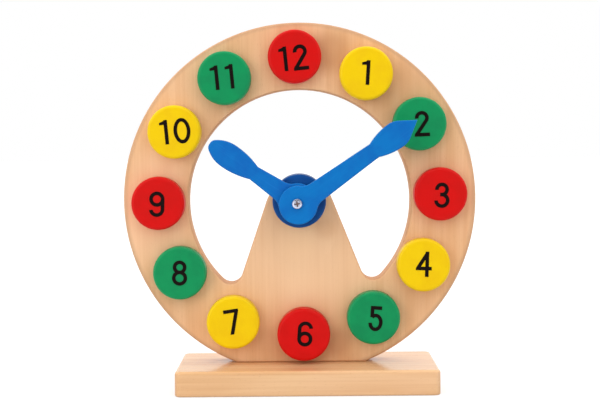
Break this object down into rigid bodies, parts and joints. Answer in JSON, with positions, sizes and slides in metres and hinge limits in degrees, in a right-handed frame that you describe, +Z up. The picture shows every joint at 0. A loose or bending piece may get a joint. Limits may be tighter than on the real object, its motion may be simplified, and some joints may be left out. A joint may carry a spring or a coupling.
{
  "type": "wooden learning clock",
  "caption": "Wooden teaching clock: a ring dial with a pillar on a base board, coloured number discs on pegs that turn and pull out, and two hands that are turned by finger.",
  "frame": {"origin": "middle of the base board's flat underside", "axes": "+Z up, the dial faces along -Y, +X to the right as the face is seen"},
  "size_m": [0.2, 0.065, 0.207],
  "materials": {
    "base_wood": "clear matt lacquer",
    "dial_wood": "clear matt lacquer",
    "peg_wood": "bare",
    "paint_red": "satin paint",
    "paint_yellow": "satin paint",
    "paint_green": "satin paint",
    "paint_blue": "satin paint",
    "paint_navy": "satin paint",
    "black_ink": "screen print",
    "zinc_steel": "bright zinc"
  },
  "bodies": {
    "stand": {"base_board": "base_wood", "dial_plate": "dial_wood", "base_screws": "zinc_steel", "hub_spacer": "paint_navy", "hour_washer": "zinc_steel", "minute_washer": "zinc_steel", "hand_bolt": "zinc_steel", "rear_washer": "zinc_steel", "rear_nut": "zinc_steel"},
    "hour_hand": {"hour_hand": "paint_blue"},
    "minute_hand": {"minute_hand": "paint_blue"},
    "peg_1": {"peg_1": "peg_wood"},
    "disc_1": {"disc_1": "paint_yellow", "numeral_1": "black_ink"},
    "peg_2": {"peg_2": "peg_wood"},
    "disc_2": {"disc_2": "paint_green", "numeral_2": "black_ink"},
    "peg_3": {"peg_3": "peg_wood"},
    "disc_3": {"disc_3": "paint_red", "numeral_3": "black_ink"},
    "peg_4": {"peg_4": "peg_wood"},
    "disc_4": {"disc_4": "paint_yellow", "numeral_4": "black_ink"},
    "peg_5": {"peg_5": "peg_wood"},
    "disc_5": {"disc_5": "paint_green", "numeral_5": "black_ink"},
    "peg_6": {"peg_6": "peg_wood"},
    "disc_6": {"disc_6": "paint_red", "numeral_6": "black_ink"},
    "peg_7": {"peg_7": "peg_wood"},
    "disc_7": {"disc_7": "paint_yellow", "numeral_7": "black_ink"},
    "peg_8": {"peg_8": "peg_wood"},
    "disc_8": {"disc_8": "paint_green", "numeral_8": "black_ink"},
    "peg_9": {"peg_9": "peg_wood"},
    "disc_9": {"disc_9": "paint_red", "numeral_9": "black_ink"},
    "peg_10": {"peg_10": "peg_wood"},
    "disc_10": {"disc_10": "paint_yellow", "numeral_10": "black_ink"},
    "peg_11": {"peg_11": "peg_wood"},
    "disc_11": {"disc_11": "paint_green", "numeral_11": "black_ink"},
    "peg_12": {"peg_12": "peg_wood"},
    "disc_12": {"disc_12": "paint_red", "numeral_12": "black_ink"}
  },
  "joints": [
    {"name": "hour_hand_turn", "type": "hinge", "parent": "stand", "child": "hour_hand", "pos_m": [-0.0049, -0.02545, 0.10655], "axis": [0, 1, 0], "continuous": true},
    {"name": "minute_hand_turn", "type": "hinge", "parent": "stand", "child": "minute_hand", "pos_m": [-0.0049, -0.03075, 0.10655], "axis": [0, 1, 0], "continuous": true},
    {"name": "peg_1_pull", "type": "slide", "parent": "stand", "child": "peg_1", "axis": [0, -1, 0], "range_m": [0, 0.01]},
    {"name": "disc_1_turn", "type": "hinge", "parent": "peg_1", "child": "disc_1", "pos_m": [0.03421, -0.00705, 0.17785], "axis": [0, 1, 0], "continuous": true},
    {"name": "peg_2_pull", "type": "slide", "parent": "stand", "child": "peg_2", "axis": [0, -1, 0], "range_m": [0, 0.01]},
    {"name": "disc_2_turn", "type": "hinge", "parent": "peg_2", "child": "disc_2", "pos_m": [0.06403, -0.00705, 0.14949], "axis": [0, 1, 0], "continuous": true},
    {"name": "peg_3_pull", "type": "slide", "parent": "stand", "child": "peg_3", "axis": [0, -1, 0], "range_m": [0, 0.01]},
    {"name": "disc_3_turn", "type": "hinge", "parent": "peg_3", "child": "disc_3", "pos_m": [0.07568, -0.00705, 0.11002], "axis": [0, 1, 0], "continuous": true},
    {"name": "peg_4_pull", "type": "slide", "parent": "stand", "child": "peg_4", "axis": [0, -1, 0], "range_m": [0, 0.01]},
    {"name": "disc_4_turn", "type": "hinge", "parent": "peg_4", "child": "disc_4", "pos_m": [0.06603, -0.00705, 0.07001], "axis": [0, 1, 0], "continuous": true},
    {"name": "peg_5_pull", "type": "slide", "parent": "stand", "child": "peg_5", "axis": [0, -1, 0], "range_m": [0, 0.01]},
    {"name": "disc_5_turn", "type": "hinge", "parent": "peg_5", "child": "disc_5", "pos_m": [0.03767, -0.00705, 0.04019], "axis": [0, 1, 0], "continuous": true},
    {"name": "peg_6_pull", "type": "slide", "parent": "stand", "child": "peg_6", "axis": [0, -1, 0], "range_m": [0, 0.01]},
    {"name": "disc_6_turn", "type": "hinge", "parent": "peg_6", "child": "disc_6", "pos_m": [-0.00186, -0.00705, 0.03102], "axis": [0, 1, 0], "continuous": true},
    {"name": "peg_7_pull", "type": "slide", "parent": "stand", "child": "peg_7", "axis": [0, -1, 0], "range_m": [0, 0.01]},
    {"name": "disc_7_turn", "type": "hinge", "parent": "peg_7", "child": "disc_7", "pos_m": [-0.04181, -0.00705, 0.03819], "axis": [0, 1, 0], "continuous": true},
    {"name": "peg_8_pull", "type": "slide", "parent": "stand", "child": "peg_8", "axis": [0, -1, 0], "range_m": [0, 0.01]},
    {"name": "disc_8_turn", "type": "hinge", "parent": "peg_8", "child": "disc_8", "pos_m": [-0.07163, -0.00705, 0.06655], "axis": [0, 1, 0], "continuous": true},
    {"name": "peg_9_pull", "type": "slide", "parent": "stand", "child": "peg_9", "axis": [0, -1, 0], "range_m": [0, 0.01]},
    {"name": "disc_9_turn", "type": "hinge", "parent": "peg_9", "child": "disc_9", "pos_m": [-0.08328, -0.00705, 0.10602], "axis": [0, 1, 0], "continuous": true},
    {"name": "peg_10_pull", "type": "slide", "parent": "stand", "child": "peg_10", "axis": [0, -1, 0], "range_m": [0, 0.01]},
    {"name": "disc_10_turn", "type": "hinge", "parent": "peg_10", "child": "disc_10", "pos_m": [-0.07363, -0.00705, 0.14603], "axis": [0, 1, 0], "continuous": true},
    {"name": "peg_11_pull", "type": "slide", "parent": "stand", "child": "peg_11", "axis": [0, -1, 0], "range_m": [0, 0.01]},
    {"name": "disc_11_turn", "type": "hinge", "parent": "peg_11", "child": "disc_11", "pos_m": [-0.04527, -0.00705, 0.17585], "axis": [0, 1, 0], "continuous": true},
    {"name": "peg_12_pull", "type": "slide", "parent": "stand", "child": "peg_12", "axis": [0, -1, 0], "range_m": [0, 0.01]},
    {"name": "disc_12_turn", "type": "hinge", "parent": "peg_12", "child": "disc_12", "pos_m": [-0.0058, -0.00705, 0.18749], "axis": [0, 1, 0], "continuous": true}
  ]
}
